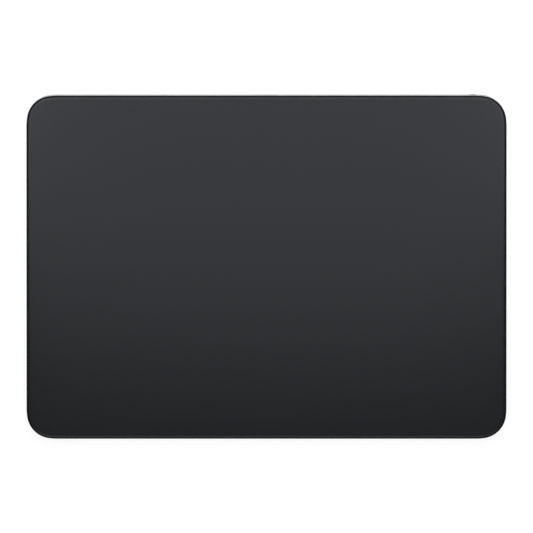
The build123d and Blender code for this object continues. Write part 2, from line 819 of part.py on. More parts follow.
# Charging socket: a steel can pressed round a moulded insulator, pulled onto a gasket by a strap
with BuildPart() as socket_can:
    with BuildSketch(rear_plane(0, socket_set_in)):
        can_width = mouth_width - 2 * socket_fit
        SlotOverall(can_width, 2 * can_radius)
        SlotOverall(can_width - 2 * socket_can_wall, 2 * (can_radius - socket_can_wall), mode=Mode.SUBTRACT)
    extrude(amount=-socket_length)
save(socket_can, "socket_can")

with BuildPart() as socket_insulator:
    with BuildSketch(rear_plane(0, socket_set_in)):
        SlotOverall(can_width - 2 * socket_can_wall, 2 * (can_radius - socket_can_wall))
    extrude(amount=-socket_length)
    with BuildSketch(rear_plane(0, socket_set_in)):
        SlotOverall(cavity_width, cavity_height)
    extrude(amount=-cavity_depth, mode=Mode.SUBTRACT)
save(socket_insulator, "socket_insulator")

# Contacts along the floor of the socket's cavity, their y measured down from its axis
with BuildPart(rear_plane(0, socket_set_in + cavity_depth)) as socket_contacts:
    contacts_x = [(i - (contact_count - 1) / 2) * contact_pitch for i in range(contact_count)]
    with Locations([(x, (cavity_height - contact_thickness) / 2) for x in contacts_x]):
        Box(contact_width, contact_thickness, contact_length, align=STANDING)
save(socket_contacts, "socket_contacts")

with BuildPart() as socket_gasket:
    with BuildSketch(rear_plane(0, wall)):
        SlotOverall(mouth_width + 2 * gasket_border, mouth_height + 2 * gasket_border)
        SlotOverall(mouth_width, mouth_height, mode=Mode.SUBTRACT)
    extrude(amount=-gasket_thickness)
save(socket_gasket, "socket_gasket")

# Strap: a hat-shaped strip over the can, with a foot screwed down on each side of it
with BuildPart() as socket_strap:
    with BuildSketch(rear_plane(0, strap_setback)):
        crown = can_radius + strap_thickness
        rectangle_between(-strap_half, -crown, strap_half, can_radius)
        rectangle_between(-pedestal_half, can_radius - strap_thickness, pedestal_half, can_radius)
        inner_half = strap_half - strap_thickness
        Rectangle(2 * inner_half, 2 * can_radius, mode=Mode.SUBTRACT)
    extrude(amount=-strap_length)
    with Locations(pedestal_top):
        with Locations([(x, y, strap_thickness) for x, y in strap_screw_places]):
            bite = 2 * strap_thickness
            Cylinder(small_shank_radius + screw_fit, bite, align=HANGING, mode=Mode.SUBTRACT)
save(socket_strap, "socket_strap")

with BuildPart() as rear_screws:
    with Locations(pedestal_top):
        with Locations([(x, y, strap_thickness) for x, y in strap_screw_places]):
            small_screw()
    with Locations(switch_shelf):
        with Locations((ear_screw_place[0], ear_screw_place[1], switch_ear_thickness)):
            Cylinder(small_head_radius, small_head_height, align=STANDING)
            ear_shank = small_shank_length + switch_ear_thickness - screw_fit
            Cylinder(small_shank_radius, ear_shank, align=HANGING)
save(rear_screws, "rear_screws")

socket_end = slab_point(0, slope_depth / 2 - socket_set_in - socket_length, rear_axis_below)
with BuildPart() as socket_cable:
    with BuildSketch(Plane.XY.offset(floor_top)):
        half = cable_width / 2
        rectangle_between(-half, rear_run_y, half, socket_end.Y - flex_air)
        rectangle_between(-half, rear_run_y, plug_x + half, rear_run_y + cable_width)
        rectangle_between(plug_x - half, rear_plug_y - half, plug_x + half, rear_run_y + cable_width)
    extrude(amount=flex_thickness)
    with BuildSketch(Plane.XY.offset(floor_top)):
        rectangle_between(-half, socket_end.Y - flex_air - flex_thickness, half, socket_end.Y - flex_air)
    extrude(amount=socket_end.Z - floor_top)
save(socket_cable, "socket_cable")

# Power switch: a liner in the wall's slot, a body behind it, and a slider whose knob shows outside
track_half = (switch_slot_width - knob_width) / 2 - knob_end_gap
stem_travel = 2 * track_half
knob_rest_x = switch_x + track_half
with BuildPart() as switch_liner:
    with BuildSketch(rear_plane(switch_x, frame_set_in)):
        SlotOverall(switch_slot_width - 2 * frame_fit, switch_slot_height - 2 * frame_fit)
        track_height = stem_height + 2 * stem_running_gap
        track_width = stem_travel + stem_width + 2 * stem_running_gap
        Rectangle(track_width, track_height, mode=Mode.SUBTRACT)
    extrude(amount=frame_set_in - switch_front)
save(switch_liner, "switch_liner")

with BuildPart() as switch_body:
    with BuildSketch(rear_plane(switch_x, switch_front)):
        Rectangle(switch_body_width, switch_body_height)
        with Locations((-(switch_body_width + switch_ear) / 2, (switch_body_height - switch_ear_thickness) / 2)):
            Rectangle(switch_ear, switch_ear_thickness)
    extrude(amount=-switch_body_depth)
    with BuildSketch(rear_plane(switch_x, switch_front)):
        Rectangle(stem_travel + slider_width + 2 * stem_running_gap, slider_height + 2 * slider_clearance)
    extrude(amount=switch_body_wall - switch_body_depth, mode=Mode.SUBTRACT)
    with Locations(switch_shelf):
        with Locations((ear_screw_place[0], ear_screw_place[1], switch_ear_thickness)):
            ear_bite = 2 * switch_ear_thickness
            Cylinder(small_shank_radius + screw_fit, ear_bite, align=HANGING, mode=Mode.SUBTRACT)
save(switch_body, "switch_body")

with BuildPart() as switch_contacts:
    with BuildSketch(rear_plane(switch_x, switch_back - switch_body_wall)):
        with Locations([(i * stem_travel / 2, 0) for i in (-1, 0, 1)]):
            Rectangle(switch_contact_size, switch_contact_size)
    extrude(amount=switch_contact_thickness)
save(switch_contacts, "switch_contacts")

with BuildPart() as switch_slider:
    knob_back = frame_set_in - slider_clearance
    with BuildSketch(rear_plane(knob_rest_x, -knob_proud)):
        SlotOverall(knob_width, knob_height)
    extrude(amount=-(knob_proud + knob_back))
    fillet(switch_slider.faces().sort_by(Axis.Y)[-1].edges(), knob_edge_round)
    slider_front = switch_front + slider_clearance
    with BuildSketch(rear_plane(knob_rest_x, knob_back)):
        Rectangle(stem_width, stem_height)
    extrude(amount=knob_back - slider_front)
    with BuildSketch(rear_plane(knob_rest_x, slider_front)):
        Rectangle(slider_width, slider_height)
    contact_front = switch_back - switch_body_wall - switch_contact_thickness - slider_clearance
    extrude(amount=slider_front - contact_front)
save(switch_slider, "switch_slider")

switch_rear = slab_point(0, slope_depth / 2 - switch_back, rear_axis_below)
with BuildPart() as switch_cable:
    cable_left = switch_plug_x - cable_width / 2
    cable_rear = switch_rear.Y - 2 * flex_air
    with BuildSketch(Plane.XY.offset(floor_top)):
        rectangle_between(cable_left, rear_plug_y - cable_width / 2, switch_right, cable_rear)
    extrude(amount=flex_thickness)
    with BuildSketch(Plane.XY.offset(floor_top)):
        rectangle_between(cable_left, cable_rear - flex_thickness, switch_right, cable_rear)
    extrude(amount=switch_rear.Z - floor_top)
save(switch_cable, "switch_cable")

with BuildPart() as actuator_cable:
    half = cable_width / 2
    with BuildSketch(Plane.XY.offset(floor_top)):
        run_left = bracket_half + flex_air
        run_right = actuator_plug_x + half
        rectangle_between(run_left, back_middle_y - half, run_right, back_middle_y + half)
        rectangle_between(actuator_plug_x - half, back_middle_y - half, run_right, connector_y + half)
    extrude(amount=flex_thickness)
save(actuator_cable, "actuator_cable")

# Antenna: a strip on a moulded carrier that stands on the floor beside the socket
with BuildPart() as antenna_carrier:
    with BuildSketch(slab_plane(antenna_below)):
        with Locations(((antenna_start_x + antenna_end_x) / 2, antenna_along)):
            RectangleRounded(antenna_length, antenna_depth, flexure_corner)
    extrude(amount=-tray_reach)
    split(bisect_by=Plane.XY.offset(floor_top), keep=Keep.TOP)
save(antenna_carrier, "antenna_carrier")

with BuildPart() as antenna:
    with BuildSketch(slab_plane(antenna_below - antenna_thickness)):
        track = antenna_track
        low, high = antenna_start_x + track, antenna_end_x - track
        front, rear = antenna_along - antenna_depth / 2, antenna_along + antenna_depth / 2
        rectangle_between(low, rear - 2 * track, high, rear - track)
        rectangle_between(low, front, low + track, rear - track)
        rectangle_between(high - track, front + track, high, rear - track)
    extrude(amount=-antenna_thickness)
save(antenna, "antenna")

# The antenna's lead passes over the flat cables on its way to the logic board
with BuildPart() as antenna_cable:
    half = antenna_cable_width / 2
    carrier_front = level_y(antenna_along - antenna_depth / 2, antenna_cable_top) - flex_air
    lead_left = antenna_start_x + antenna_track
    run_rear = rear_run_y + cable_width
    run_front = run_rear - antenna_cable_width
    with BuildSketch(Plane.XY.offset(cable_top)):
        rectangle_between(lead_left, run_front, lead_left + antenna_cable_width, carrier_front)
        rectangle_between(lead_left, run_front, antenna_plug_x + half, run_rear)
        rectangle_between(antenna_plug_x - half, rear_plug_y - half, antenna_plug_x + half, run_rear)
    extrude(amount=flex_thickness)
save(antenna_cable, "antenna_cable")
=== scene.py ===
# %% [markdown]
# # A glass trackpad
# The real object is a slab of satin black glass floating on a wedge-shaped aluminium tray. It is
# a hard product: flat faces, soft corners and no cloth or cord. So the solids carry the shapes,
# and this lesson adds what solids lack: the soft shoulder of the glass, the finish of every
# material, the turns of the coils, the rubber grommets, the rounded fold of one cable, and the
# light of a studio.
# First the imported solids come in as a fixed frame, in metres. Their box is kept, because the
# dressed object has to stay inside it.

import bpy
import numpy as np
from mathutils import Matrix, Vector


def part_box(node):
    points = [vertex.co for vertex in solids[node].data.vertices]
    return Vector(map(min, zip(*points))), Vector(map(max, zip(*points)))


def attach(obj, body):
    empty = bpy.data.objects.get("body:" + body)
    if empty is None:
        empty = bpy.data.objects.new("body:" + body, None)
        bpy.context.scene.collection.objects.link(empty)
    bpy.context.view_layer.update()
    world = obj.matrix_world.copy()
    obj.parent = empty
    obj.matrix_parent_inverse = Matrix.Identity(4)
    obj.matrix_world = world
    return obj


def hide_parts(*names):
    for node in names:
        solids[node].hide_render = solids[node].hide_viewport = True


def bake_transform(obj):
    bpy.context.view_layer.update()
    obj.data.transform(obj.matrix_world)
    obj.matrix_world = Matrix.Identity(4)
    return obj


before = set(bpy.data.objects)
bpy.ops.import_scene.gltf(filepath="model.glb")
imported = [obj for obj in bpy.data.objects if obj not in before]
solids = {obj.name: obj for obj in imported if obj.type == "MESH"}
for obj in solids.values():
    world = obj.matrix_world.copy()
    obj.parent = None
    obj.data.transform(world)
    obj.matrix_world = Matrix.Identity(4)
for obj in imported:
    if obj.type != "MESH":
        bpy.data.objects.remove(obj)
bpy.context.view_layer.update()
MM = 0.001

# %% [markdown]
# ## The camera
# The photograph looks straight down from so far away that the sides of the object show no
# perspective. An orthographic camera would do, but a very long lens far above gives the same
# picture and keeps its scale when the camera is moved to another side, so that is what stands
# here. The width of the picture at the object fixes the distance: lens over sensor is distance
# over width.

# %% A long lens straight above
LENS = 1600.0
SENSOR = 36.0
PICTURE_WIDTH = 177.64 * MM
PICTURE_CENTRE = (0.0, 0.03 * MM)
SLAB_HEIGHT = 7.9 * MM
CLIP_NEAR, CLIP_FAR_TIMES = 1.0, 4

camera_data = bpy.data.cameras.new("long_lens")
camera_data.lens, camera_data.sensor_width = LENS, SENSOR
camera_distance = PICTURE_WIDTH * LENS / SENSOR
camera_data.clip_start, camera_data.clip_end = CLIP_NEAR, CLIP_FAR_TIMES * camera_distance
camera = bpy.data.objects.new("camera_above", camera_data)
camera.location = (*PICTURE_CENTRE, SLAB_HEIGHT + camera_distance)
bpy.context.scene.collection.objects.link(camera)
bpy.context.scene.camera = camera
bpy.context.scene.view_settings.view_transform = "Standard"
print("camera stands", round(camera_distance, 3), "m above the glass")

# %% [markdown]
# ## Small helpers for materials
# Every finish below is a node tree, and writing one out link by link hides what it says. These
# helpers each add one node and hand back its output, so a finish reads from top to bottom:
# a place on the object, a pattern there, and what the pattern does to colour, gloss or height.
# Patterns read Object coordinates. Each piece stays at the origin, so these are real metres, and a
# grain 0.2 mm wide is written as 0.2 mm.

# %% One node, and one finish
def add_node(material, kind, inputs=(), **settings):
    """Adds one shader node with its settings, and feeds each named input from a number or a
    socket."""
    made = material.node_tree.nodes.new("ShaderNode" + kind)
    for setting, value in settings.items():
        setattr(made, setting, value)
    for socket, value in dict(inputs).items():
        if isinstance(value, bpy.types.NodeSocket):
            material.node_tree.links.new(value, made.inputs[socket])
        else:
            made.inputs[socket].default_value = value
    return made


def new_finish(name, **constants):
    """A material with one Principled shader, whose own sockets take the values that never vary."""
    material = bpy.data.materials.new(name)
    material.use_nodes = True
    shader = material.node_tree.nodes["Principled BSDF"]
    for socket, value in constants.items():
        shader.inputs[socket.replace("_", " ")].default_value = value
    return material, shader.inputs


# %% Patterns on a place
def place_on(material, stretch=(1, 1, 1), turn=(0, 0, 0)):
    """Object coordinates, scaled and then turned: a scale below 1 draws a pattern out long."""
    coordinates = add_node(material, "TexCoord").outputs["Object"]
    inputs = {"Vector": coordinates, "Rotation": turn, "Scale": stretch}
    return add_node(material, "Mapping", inputs).outputs["Vector"]


def grain(material, place, size, detail=3.0, roughness=0.5):
    """Soft noise whose lumps are about size metres across, from 0 to 1."""
    inputs = {"Vector": place, "Scale": 1 / size, "Detail": detail, "Roughness": roughness}
    return add_node(material, "TexNoise", inputs).outputs["Fac"]


def cells(material, place, size):
    """Voronoi cells about size metres across: the distance to the nearest cell's middle."""
    inputs = {"Vector": place, "Scale": 1 / size}
    return add_node(material, "TexVoronoi", inputs).outputs["Distance"]


# At scale 1 the bands of a wave texture repeat each time the coordinate grows by pi over 10.
WAVE_AT_SCALE_ONE = np.pi / 10


def stripes(material, place, pitch, direction):
    """Parallel lines pitch metres apart, running square to the direction, from 0 to 1."""
    inputs = {"Vector": place, "Scale": WAVE_AT_SCALE_ONE / pitch}
    return add_node(material, "TexWave", inputs, bands_direction=direction).outputs["Fac"]


# %% What a pattern does to colour, gloss and height
def spread(material, value, low, high, start=0.0, end=1.0):
    """Carries a value from the range start to end onto the range low to high, and stops at its
    ends."""
    inputs = {"Value": value, "From Min": start, "From Max": end, "To Min": low, "To Max": high}
    return add_node(material, "MapRange", inputs).outputs["Result"]


def combine(material, first, second, operation="MULTIPLY"):
    """One arithmetic step between two patterns."""
    return add_node(material, "Math", {0: first, 1: second}, operation=operation).outputs[0]


def tint(material, value, *stops):
    """A colour ramp with two stops, each a share from 0 to 1 and a linear colour."""
    ramp = add_node(material, "ValToRGB", {"Fac": value})
    for key, (share, colour) in zip(ramp.color_ramp.elements, stops):
        key.position, key.color = share, (*colour, 1)
    return ramp.outputs["Color"]


def relief(material, height, depth, under=None):
    """Bumps that stand depth metres high where height is 1, on top of any bumps under them."""
    inputs = {"Height": height, "Distance": depth}
    if under is not None:
        inputs["Normal"] = under
    return add_node(material, "Bump", inputs).outputs["Normal"]


def connect(material, shader, **patterns):
    """Plugs finished patterns into the shader's sockets."""
    for socket, output in patterns.items():
        material.node_tree.links.new(output, shader[socket.replace("_", " ")])
    return material


# %% [markdown]
# ## The studio
# A white sweep fills the whole picture. Making it white by pouring light on it would wash out
# the object, so the floor and the world turn white only for rays that come from the camera, from
# a gloss or through something clear. To every other ray the floor is plain pale card and the
# world is dim, and the card still darkens under the object. Overhead the studio has a dim ceiling
# instead of a white wall, and that ceiling is what the dark front half of the glass mirrors.

# %% The air of the studio
AIR_LEVEL = 0.30
CEILING_LEVEL = 0.06
# The wall ends and the ceiling starts at these sines of the angle above the horizon.
WALL_TOP, CEILING_START = 0.20, 0.60


def share_by_ray(tree_owner, to_camera, to_gloss):
    """One share for rays from the camera, another for rays from a gloss or through something
    clear, and none for the rest."""
    ray = add_node(tree_owner, "LightPath").outputs
    mirrored = combine(tree_owner, ray["Is Glossy Ray"], ray["Is Transmission Ray"], "MAXIMUM")
    mirrored = combine(tree_owner, mirrored, to_gloss)
    direct = combine(tree_owner, ray["Is Camera Ray"], to_camera)
    return combine(tree_owner, direct, mirrored, "MAXIMUM")


world = bpy.data.worlds.new("studio_air")
world.use_nodes = True
bpy.context.scene.world = world
direction = add_node(world, "TexCoord").outputs["Generated"]
height = add_node(world, "SeparateXYZ", {"Vector": direction}).outputs["Z"]
wall = spread(world, height, 1.0, CEILING_LEVEL, WALL_TOP, CEILING_START)
seen = share_by_ray(world, 1.0, 1.0)
air = add_node(world, "Mix", {"Factor": seen, "A": AIR_LEVEL, "B": wall}).outputs["Result"]
world.node_tree.links.new(air, world.node_tree.nodes["Background"].inputs["Strength"])
world.node_tree.nodes["Background"].inputs["Color"].default_value = (1, 1, 1, 1)
print("air from", CEILING_LEVEL, "overhead to 1 at the walls, and", AIR_LEVEL, "to matt surfaces")

# %% The floor card
FLOOR_HALF = 3.0
CARD_LIGHT, CARD_DARK = (0.83, 0.83, 0.835), (0.80, 0.80, 0.805)
CARD_GLOW = 1.20
GLOW_TO_CAMERA, GLOW_TO_GLOSS = 0.68, 0.2

card, card_shader = new_finish("floor_card", Roughness=0.9, Specular_IOR_Level=0.1)
speckle = grain(card, place_on(card), 4 * MM)
connect(card, card_shader, Base_Color=tint(card, speckle, (0.3, CARD_DARK), (0.7, CARD_LIGHT)))
glow = add_node(card, "Emission", {"Strength": CARD_GLOW}).outputs[0]
lit = card.node_tree.nodes["Principled BSDF"].outputs[0]
share = share_by_ray(card, GLOW_TO_CAMERA, GLOW_TO_GLOSS)
front = add_node(card, "MixShader", {0: share, 1: lit, 2: glow}).outputs[0]
below = add_node(card, "NewGeometry").outputs["Backfacing"]
clear = add_node(card, "BsdfTransparent").outputs[0]
sides = add_node(card, "MixShader", {0: below, 1: front, 2: clear}).outputs[0]
card.node_tree.links.new(sides, card.node_tree.nodes["Material Output"].inputs["Surface"])

floor_mesh = bpy.data.meshes.new("floor")
corners = FLOOR_HALF * np.array([(-1, -1, 0), (1, -1, 0), (1, 1, 0), (-1, 1, 0)])
floor_mesh.from_pydata(corners.tolist(), [], [(0, 1, 2, 3)])
floor_mesh.materials.append(card)
floor = bpy.data.objects.new("floor", floor_mesh)
bpy.context.scene.collection.objects.link(floor)
print("floor", 2 * FLOOR_HALF, "m wide")

# %% [markdown]
# The satin glass acts as a blurred mirror. Straight above, it shows what hangs about six degrees
# towards the front, since the slab leans that way. A soft lamp over the rear gives the slow fall
# of tone from the rear edge to the front one. Two narrow wings beside it lift the left and right
# thirds, and stop short of what the outermost edges mirror, so those stay dark. Two thin strips
# draw the fine light lines along the rear and the front shoulder, and a low softbox in front
# lifts the walls. All lamps are hidden from the camera.

# %% The lamps
def hang_softbox(name, centre, aim, size, radiance, colour):
    """A rectangular soft lamp facing a point. Its power in watts is radiance times area times
    pi."""
    lamp = bpy.data.lights.new(name, "AREA")
    lamp.shape, (lamp.size, lamp.size_y) = "RECTANGLE", size
    lamp.energy = radiance * lamp.size * lamp.size_y * np.pi
    lamp.color = colour
    lamp_object = bpy.data.objects.new(name, lamp)
    lamp_object.location = centre
    lamp_object.rotation_euler = (Vector(aim) - Vector(centre)).to_track_quat("-Z", "Y").to_euler()
    lamp_object.visible_camera = False
    bpy.context.scene.collection.objects.link(lamp_object)
    print(name, "gives", round(lamp.energy, 2), "W")


COOL, PLAIN = (0.97, 0.99, 1.04), (1.0, 1.0, 1.0)
# Each row is a name, the lamp's middle, the point it faces, its two sides, radiance and colour.
LAMPS = (
    ("softbox_over", (0.0, 0.145, 0.20), (0.0, 0.145, 0.0), (0.20, 0.39), 0.93, COOL),
    ("wing_left", (-0.125, 0.165, 0.20), (-0.125, 0.165, 0.0), (0.05, 0.34), 2.4, COOL),
    ("wing_right", (0.125, 0.165, 0.20), (0.125, 0.165, 0.0), (0.05, 0.34), 2.4, COOL),
    ("strip_rear", (0.0, 0.155, 0.19), (0.0, 0.06, 0.0), (0.5, 0.02), 7.0, PLAIN),
    ("strip_front", (0.0, -0.36, 0.38), (0.0, -0.05, 0.0), (0.6, 0.026), 14.5, PLAIN),
    ("softbox_low", (-0.05, -0.75, 0.32), (0.0, 0.0, 0.0), (0.9, 0.12), 1.0, PLAIN),
)
for row in LAMPS:
    hang_softbox(*row)

# %% [markdown]
# ## The glass
# The real plate is about a millimetre thick, etched satin on top, with a shoulder that rolls off
# so gently that only the light shows it, and a ground edge. A cube with a bevel would give the
# roll-off one fixed curve. Here the plate is a surface of two parameters instead: one runs round
# the rim, the other runs from the middle of the top face, over the shoulder, round the edge and
# back to the middle underneath. The corners bend less at their ends than in their middle, as the
# real ones do, so the rim is first worked out as a chain of arcs.

# %% The rim of the slab as a chain of arcs
SLAB_WIDTH, SLAB_DEPTH, SLAB_RISE = 160.0 * MM, 114.5 * MM, 6.0 * MM
SLAB_CENTRE_Y = -0.2725 * MM
NOSE_RADIUS, FLANK_RADIUS, FLANK_TURN = 8.45 * MM, 23.0 * MM, np.radians(7.0)
CORNER_STEPS, SIDE_STEPS = 44, 26


def arc_offset(turn_from, turn_to, radius):
    """The way covered by an arc that turns between two headings: radius times the change in
    (sine, minus cosine) of the heading."""
    across = np.sin(turn_to) - np.sin(turn_from)
    along = np.cos(turn_from) - np.cos(turn_to)
    return radius * np.stack([across, along], -1)


def corner_arc(turn):
    """One corner for headings from 0 to a quarter turn: flank arc, nose arc and flank arc, added
    up."""
    first = arc_offset(0.0, np.minimum(turn, FLANK_TURN), FLANK_RADIUS)
    nose_turn = np.clip(turn, FLANK_TURN, np.pi / 2 - FLANK_TURN)
    nose = arc_offset(FLANK_TURN, nose_turn, NOSE_RADIUS)
    last_turn = np.maximum(turn, np.pi / 2 - FLANK_TURN)
    last = arc_offset(np.pi / 2 - FLANK_TURN, last_turn, FLANK_RADIUS)
    return first + nose + last


def slab_rim():
    """Points of the rim and their outward normals, anticlockwise from the front side's left end.
    Each quarter is a straight side and then a corner whose heading turns by a quarter."""
    turn = np.linspace(0.0, np.pi / 2, CORNER_STEPS + 1)
    reach = corner_arc(turn[-1:])[0]
    half = np.array([SLAB_WIDTH, SLAB_DEPTH]) / 2
    share = np.linspace(0.0, 1.0, SIDE_STEPS, endpoint=False)[:, None]
    points, normals = [], []
    for quarter in range(4):
        side, rise = half if quarter % 2 == 0 else half[::-1]
        back = reach[::-1] if quarter % 2 else reach
        start = np.array([-side + back[0], -rise])
        end = np.array([side - back[0], -rise])
        local = np.concatenate([start + share * (end - start), end + corner_arc(turn)[:-1]])
        heading = np.concatenate([np.zeros(SIDE_STEPS), turn[:-1]]) + quarter * np.pi / 2
        angle = quarter * np.pi / 2
        spin = np.array([[np.cos(angle), np.sin(angle)], [-np.sin(angle), np.cos(angle)]])
        points.append(local @ spin)
        normals.append(np.stack([np.sin(heading), -np.cos(heading)], -1))
    return np.concatenate(points), np.concatenate(normals)


rim_points, rim_normals = slab_rim()
print("rim spans", np.round(np.ptp(rim_points, axis=0) / MM, 3), "mm in", len(rim_points), "points")

# %% [markdown]
# The slab leans, so its points are worked out flat, as (across, along, below), and then laid on
# the slope: along climbs to the rear and below sinks square to the glass. The object could be
# turned instead, but a finished piece stands at the origin unturned. A mesh from a grid closes
# round the rim, and a single point closes it at each pole.

# %% Laying points on the slope, and turning a grid into a mesh
SLOPE_SIN = SLAB_RISE / SLAB_DEPTH
SLOPE_COS = float(np.sqrt(1 - SLOPE_SIN**2))


def on_slope(across, along, below):
    """Flat slab coordinates to the frame: y is along times cosine plus below times sine, and z is
    along times sine minus below times cosine, both from the middle of the glass's top face."""
    y = SLAB_CENTRE_Y + along * SLOPE_COS + below * SLOPE_SIN
    z = SLAB_HEIGHT + along * SLOPE_SIN - below * SLOPE_COS
    return np.stack(np.broadcast_arrays(across, y, z), -1)


def closed_mesh(name, rings, first_pole, last_pole):
    """Rings of equal length, each joined to the next, with a fan of triangles to a pole at both
    ends."""
    ring_count, around = rings.shape[:2]
    points = np.concatenate([rings.reshape(-1, 3), first_pole[None], last_pole[None]])
    index = np.arange(ring_count * around).reshape(ring_count, around)
    ahead = np.roll(index, -1, axis=1)
    quads = np.stack([index[:-1], index[1:], ahead[1:], ahead[:-1]], -1).reshape(-1, 4)
    first_fan = np.stack([index[0], ahead[0], np.full(around, len(points) - 2)], -1)
    last_fan = np.stack([ahead[-1], index[-1], np.full(around, len(points) - 1)], -1)
    mesh = bpy.data.meshes.new(name)
    mesh.from_pydata(points.tolist(), [], quads.tolist() + first_fan.tolist() + last_fan.tolist())
    mesh.polygons.foreach_set("use_smooth", np.ones(len(mesh.polygons), bool))
    return mesh


# %% [markdown]
# The section of the plate from the middle outwards: flat, then a wide and very shallow dome, then
# a shoulder whose fall grows with a power of the way into it, a small round, the upright edge, an
# arris and the underside. The shoulder is what the photograph shows as a lighter band inside the
# rear edge and a darker one inside the front edge.

# %% The section of the glass
GLASS_THICKNESS = 1.1 * MM
SHOULDER_WIDTH, SHOULDER_DROP, SHOULDER_POWER = 1.9 * MM, 0.11 * MM, 3.0
DOME_WIDTH, DOME_DROP = 7.4 * MM, 0.05 * MM
EDGE_WIDTH = 0.55 * MM
ARRIS, ARRIS_BELLY = 0.08 * MM, 0.3
INNER_INSET = 7.5 * MM
TOP_STEPS, TOP_CROWDING, ROUND_STEPS = 48, 1.7, 16


def glass_section():
    """Pairs of (inset from the rim, depth below the top face), for the part outside INNER_INSET.
    The top falls by the dome's drop times (share of the way out) squared, plus the shoulder's
    drop times its own share to its power. The round starts with the slope where the shoulder
    ends and turns to upright. The steps crowd together towards the edge."""
    out = 1 - np.linspace(1.0, 0.0, TOP_STEPS) ** TOP_CROWDING
    inset = INNER_INSET + (EDGE_WIDTH - INNER_INSET) * out
    into_dome = np.clip((DOME_WIDTH - inset) / (DOME_WIDTH - EDGE_WIDTH), 0, 1)
    into_shoulder = np.clip((SHOULDER_WIDTH - inset) / (SHOULDER_WIDTH - EDGE_WIDTH), 0, 1)
    fall = DOME_DROP * into_dome**2 + SHOULDER_DROP * into_shoulder**SHOULDER_POWER
    slope = np.arctan(2 * DOME_DROP / (DOME_WIDTH - EDGE_WIDTH)
                      + SHOULDER_DROP * SHOULDER_POWER / (SHOULDER_WIDTH - EDGE_WIDTH))
    angle = np.linspace(slope, np.pi / 2, ROUND_STEPS)[1:]
    radius = EDGE_WIDTH / (1 - np.sin(slope))
    edge = radius * np.stack([1 - np.sin(angle), np.cos(slope) - np.cos(angle)], -1)
    top = np.stack([inset, fall], -1)
    edge += [0, DOME_DROP + SHOULDER_DROP]
    lower = np.array([
        (0, GLASS_THICKNESS - 2 * ARRIS),
        (0, GLASS_THICKNESS - ARRIS),
        (ARRIS * ARRIS_BELLY, GLASS_THICKNESS - ARRIS * ARRIS_BELLY),
        (ARRIS, GLASS_THICKNESS),
        (2 * ARRIS, GLASS_THICKNESS),
        (INNER_INSET, GLASS_THICKNESS),
    ])
    return np.concatenate([top, edge, lower]), len(top)


section, top_count = glass_section()
print("section of", len(section), "points,", top_count, "of them on the top face")

# %% The glass plate
INNER_RINGS = 7


def glass_rings(section):
    """Each ring is the rim moved in by its inset and down by its depth. Between the innermost
    ring and the middle, the rings shrink towards the middle in even shares."""
    inset, depth = section[:, 0], section[:, 1]
    flat = rim_points[None] - inset[:, None, None] * rim_normals[None]
    outer = on_slope(flat[..., 0], flat[..., 1], depth[:, None])
    share = np.linspace(0.0, 1.0, INNER_RINGS + 2)[1:-1, None, None]
    inner_top, inner_base = share * flat[0], share[::-1] * flat[-1]
    top = on_slope(inner_top[..., 0], inner_top[..., 1], 0.0)
    base = on_slope(inner_base[..., 0], inner_base[..., 1], GLASS_THICKNESS)
    return np.concatenate([top, outer, base])


rings = glass_rings(section)
middle_top, middle_base = on_slope(0.0, 0.0, 0.0), on_slope(0.0, 0.0, GLASS_THICKNESS)
glass_mesh = closed_mesh("touch_glass", rings, middle_top, middle_base)
touch_glass = bpy.data.objects.new("touch_glass", glass_mesh)
bpy.context.scene.collection.objects.link(touch_glass)
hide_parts("glass")
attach(touch_glass, "touch_plate")
print("glass", len(glass_mesh.polygons), "faces, lowest and highest z in mm",
      round(float(rings[..., 2].min()) / MM, 3), round(float(rings[..., 2].max()) / MM, 3))

# %% [markdown]
# ## The etched face and the ground edge
# The face is black ink seen through glass whose surface is etched, so it has two parts: a very
# dark, slightly blue body, and a blurred reflection. The etch is finer than a pixel, so it is a
# roughness, with a faint bump that breaks up the gloss close to. The edge is ground rather than
# etched and sends back less light, which is the thin dark line all round the real slab.

# %% Two finishes for the glass
INK_DARK, INK_LIGHT = (0.0026, 0.0032, 0.0052), (0.0032, 0.0038, 0.0058)
EDGE_DARK, EDGE_LIGHT = (0.002, 0.0022, 0.003), (0.004, 0.0043, 0.0052)

etched, etched_shader = new_finish("etched_black_glass", IOR=1.5, Specular_IOR_Level=0.5)
etch_place = place_on(etched)
etch = grain(etched, etch_place, 0.06 * MM, detail=4.0)
cloud = grain(etched, etch_place, 30 * MM, detail=2.0)
connect(
    etched, etched_shader,
    Base_Color=tint(etched, cloud, (0.3, INK_DARK), (0.7, INK_LIGHT)),
    Roughness=spread(etched, etch, 0.335, 0.365, 0.3, 0.7),
    Normal=relief(etched, etch, 0.0006 * MM),
)
ground, ground_shader = new_finish("ground_black_edge", IOR=1.3, Specular_IOR_Level=0.2)
ground_marks = grain(ground, place_on(ground), 0.08 * MM)
connect(
    ground, ground_shader,
    Base_Color=tint(ground, ground_marks, (0.3, EDGE_DARK), (0.7, EDGE_LIGHT)),
    Roughness=spread(ground, ground_marks, 0.62, 0.78, 0.3, 0.7),
    Normal=relief(ground, ground_marks, 0.002 * MM),
)
glass_mesh.materials.append(etched)
glass_mesh.materials.append(ground)
around = len(rim_points)
ring_of_face = np.arange((len(rings) - 1) * around) // around
edge_start = INNER_RINGS + top_count - 1
edge_end = len(rings) - INNER_RINGS - 1
is_edge = (ring_of_face >= edge_start) & (ring_of_face < edge_end)
face_material = np.zeros(len(glass_mesh.polygons), np.int32)
face_material[: len(is_edge)] = is_edge
glass_mesh.polygons.foreach_set("material_index", face_material)
print("edge faces", int(is_edge.sum()))

# %% [markdown]
# ## Finishes for metal parts
# The tray is milled from one block, blasted with fine glass beads and then anodised, so it has no
# direction: a fine pebbled grain, an even satin and a slight cool tint. Milled, rolled and drawn
# metals do have a direction, and get long streaks instead. Both could be painted as pictures, but
# noise worked out from the place on the piece needs no picture and has no seam.

